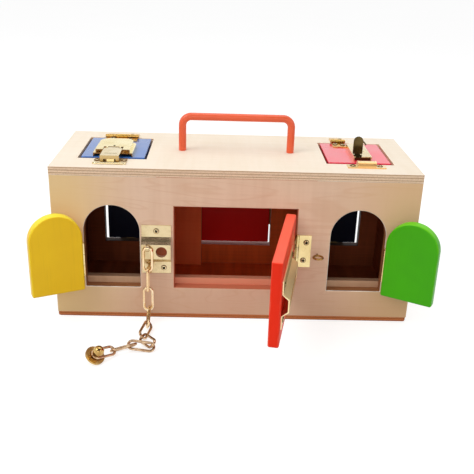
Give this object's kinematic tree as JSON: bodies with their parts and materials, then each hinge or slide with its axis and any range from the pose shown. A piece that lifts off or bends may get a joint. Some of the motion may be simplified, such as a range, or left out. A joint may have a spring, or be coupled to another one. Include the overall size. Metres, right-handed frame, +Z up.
{
  "type": "lock box toy",
  "caption": "Wooden lock box toy with compartments behind coloured doors, each with its own hinge and lock, and a carrying handle.",
  "frame": {"origin": "centre of the case's underside, on the surface it stands on", "axes": "+X along the case to the right, +Y from the front windows to the back, +Z up"},
  "size_m": [0.4382, 0.294, 0.2208],
  "materials": {
    "plywood": "clear satin lacquer",
    "inner_plywood": "bare, sanded",
    "orange_rod": "gloss paint",
    "yellow_paint": "satin paint",
    "red_paint": "satin paint",
    "green_paint": "satin paint",
    "blue_paint": "satin paint",
    "pink_paint": "satin paint",
    "navy_paint": "satin paint",
    "dark_red_paint": "satin paint",
    "brass": "polished plating",
    "steel": "zinc plated"
  },
  "bodies": {
    "case": {"bottom_panel": "plywood", "front_panel": "plywood", "back_panel": "plywood", "left_side_panel": "plywood", "right_side_panel": "plywood", "top_panel": "plywood", "left_divider": "inner_plywood", "right_divider": "inner_plywood", "front_stop_rails": "inner_plywood", "back_stop_strips": "inner_plywood", "roof_stop_strips": "inner_plywood", "carry_handle": "orange_rod", "handle_screws": "steel", "case_hinge_leaves": "brass", "hinge_pins": "brass", "case_screws": "brass", "chain_anchor_plate": "brass", "screw_eye": "brass", "latch_keeper": "brass", "bolt_keeper": "brass", "turn_button_screws": "brass"},
    "yellow_door": {"yellow_door": "yellow_paint", "yellow_hinge_leaf": "brass"},
    "red_door": {"red_door": "red_paint", "red_hinge_leaf": "brass", "chain_track": "brass"},
    "green_door": {"green_door": "green_paint", "green_hinge_leaf": "brass", "hook_pivot": "brass"},
    "door_hook": {"door_hook": "brass"},
    "blue_roof_door": {"blue_roof_door": "blue_paint", "blue_hinge_leaf": "brass", "latch_base": "brass"},
    "latch_hasp": {"latch_hasp": "brass"},
    "pink_roof_door": {"pink_roof_door": "pink_paint", "pink_hinge_leaf": "brass", "bolt_housing": "brass"},
    "slide_bolt": {"slide_bolt": "brass"},
    "left_back_door": {"left_back_door": "navy_paint", "left_back_hinge_leaf": "brass"},
    "middle_back_door": {"middle_back_door": "dark_red_paint", "middle_back_hinge_leaf": "brass"},
    "right_back_door": {"right_back_door": "navy_paint", "right_back_hinge_leaf": "brass"},
    "left_turn_button": {"left_turn_button": "brass"},
    "middle_turn_button": {"middle_turn_button": "brass"},
    "right_turn_button": {"right_turn_button": "brass"},
    "chain_link_1": {"chain_link_1": "brass"},
    "chain_link_2": {"chain_link_2": "brass"},
    "chain_link_3": {"chain_link_3": "brass"},
    "chain_link_4": {"chain_link_4": "brass"},
    "chain_link_5": {"chain_link_5": "brass"},
    "chain_link_6": {"chain_link_6": "brass"},
    "chain_link_7": {"chain_link_7": "brass"},
    "chain_link_8": {"chain_link_8": "brass"},
    "chain_link_9": {"chain_link_9": "brass"},
    "chain_button": {"chain_button": "brass"}
  },
  "joints": [
    {"name": "yellow_door_swing", "type": "hinge", "parent": "case", "child": "yellow_door", "pos_m": [-0.167, -0.07955, 0.072], "axis": [0, 0, -1], "range_deg": [-155, 10]},
    {"name": "red_door_swing", "type": "hinge", "parent": "case", "child": "red_door", "pos_m": [0.06825, -0.07955, 0.086], "axis": [0, 0, 1], "range_deg": [-79.5, 35]},
    {"name": "green_door_swing", "type": "hinge", "parent": "case", "child": "green_door", "pos_m": [0.167, -0.07955, 0.072], "axis": [0, 0, 1], "range_deg": [-150, 12]},
    {"name": "door_hook_swing", "type": "hinge", "parent": "green_door", "child": "door_hook", "pos_m": [0.204, -0.09346, 0.0852], "axis": [-0.5, -0.866, 0], "range_deg": [0, 95]},
    {"name": "blue_door_lift", "type": "hinge", "parent": "case", "child": "blue_roof_door", "pos_m": [-0.1375, 0.04725, 0.17955], "axis": [-1, 0, 0], "range_deg": [0, 105]},
    {"name": "latch_hasp_lift", "type": "hinge", "parent": "blue_roof_door", "child": "latch_hasp", "pos_m": [-0.1375, -0.0265, 0.1836], "axis": [-1, 0, 0], "range_deg": [0, 95]},
    {"name": "pink_door_lift", "type": "hinge", "parent": "case", "child": "pink_roof_door", "pos_m": [0.1245, 0.04725, 0.17955], "axis": [-1, 0, 0], "range_deg": [0, 105]},
    {"name": "bolt_slide", "type": "slide", "parent": "pink_roof_door", "child": "slide_bolt", "axis": [0, -1, 0], "range_m": [0, 0.024]},
    {"name": "left_back_door_swing", "type": "hinge", "parent": "case", "child": "left_back_door", "pos_m": [-0.1355, 0.07955, 0.0361], "axis": [-1, 0, 0], "range_deg": [0, 100]},
    {"name": "right_back_door_swing", "type": "hinge", "parent": "case", "child": "right_back_door", "pos_m": [0.1355, 0.07955, 0.0361], "axis": [-1, 0, 0], "range_deg": [0, 100]},
    {"name": "middle_back_door_swing", "type": "hinge", "parent": "case", "child": "middle_back_door", "pos_m": [0.0479, 0.07955, 0.077], "axis": [0, 0, -1], "range_deg": [0, 110]},
    {"name": "left_turn_button_turn", "type": "hinge", "parent": "case", "child": "left_turn_button", "pos_m": [-0.1355, 0.079, 0.14175], "axis": [0, 1, 0], "range_deg": [0, 90]},
    {"name": "right_turn_button_turn", "type": "hinge", "parent": "case", "child": "right_turn_button", "pos_m": [0.1355, 0.079, 0.14175], "axis": [0, 1, 0], "range_deg": [0, 90]},
    {"name": "middle_turn_button_turn", "type": "hinge", "parent": "case", "child": "middle_turn_button", "pos_m": [-0.05575, 0.079, 0.077], "axis": [0, 1, 0], "range_deg": [0, 90]},
    {"name": "chain_link_1_swing", "type": "hinge", "parent": "case", "child": "chain_link_1", "pos_m": [-0.0955, -0.088, 0.0905], "axis": [-1, 0, 0], "range_deg": [0, 60]},
    {"name": "chain_link_2_swing", "type": "hinge", "parent": "chain_link_1", "child": "chain_link_2", "pos_m": [-0.0955, -0.088, 0.0634], "axis": [1, 0, 0], "range_deg": [-25, 3]},
    {"name": "chain_link_3_swing", "type": "hinge", "parent": "chain_link_2", "child": "chain_link_3", "pos_m": [-0.0955, -0.08867, 0.03951], "axis": [0, -1, 0], "range_deg": [-20, 20]},
    {"name": "chain_link_4_swing", "type": "hinge", "parent": "chain_link_3", "child": "chain_link_4", "pos_m": [-0.09511, -0.08867, 0.01563], "axis": [0.9966, 0, 0.0819], "range_deg": [-8, 20]},
    {"name": "chain_link_5_swing", "type": "hinge", "parent": "chain_link_4", "child": "chain_link_5", "pos_m": [-0.09403, -0.11096, 0.00745], "axis": [0.238, -0.1195, 0.9639], "range_deg": [-2, 20]},
    {"name": "chain_link_6_swing", "type": "hinge", "parent": "chain_link_5", "child": "chain_link_6", "pos_m": [-0.09731, -0.13211, 0.00453], "axis": [0.67, 0.3075, -0.6757], "range_deg": [-20, 20]},
    {"name": "chain_link_7_swing", "type": "hinge", "parent": "chain_link_6", "child": "chain_link_7", "pos_m": [-0.08969, -0.15031, 0.00439], "axis": [0.5379, -0.8283, 0.1564], "range_deg": [-20, 10]},
    {"name": "chain_link_8_swing", "type": "hinge", "parent": "chain_link_7", "child": "chain_link_8", "pos_m": [-0.11056, -0.15182, 0.00572], "axis": [0.3955, -0.747, -0.5343], "range_deg": [-20, 5]},
    {"name": "chain_link_9_swing", "type": "hinge", "parent": "chain_link_8", "child": "chain_link_9", "pos_m": [-0.12658, -0.16128, 0.00594], "axis": [0.6433, -0.4791, 0.5972], "range_deg": [-20, 20]},
    {"name": "chain_button_turn", "type": "hinge", "parent": "chain_link_9", "child": "chain_button", "pos_m": [-0.14022, -0.17492, 0.00969], "axis": [0.5161, -0.2951, 0.8041], "range_deg": [-90, 90]}
  ]
}
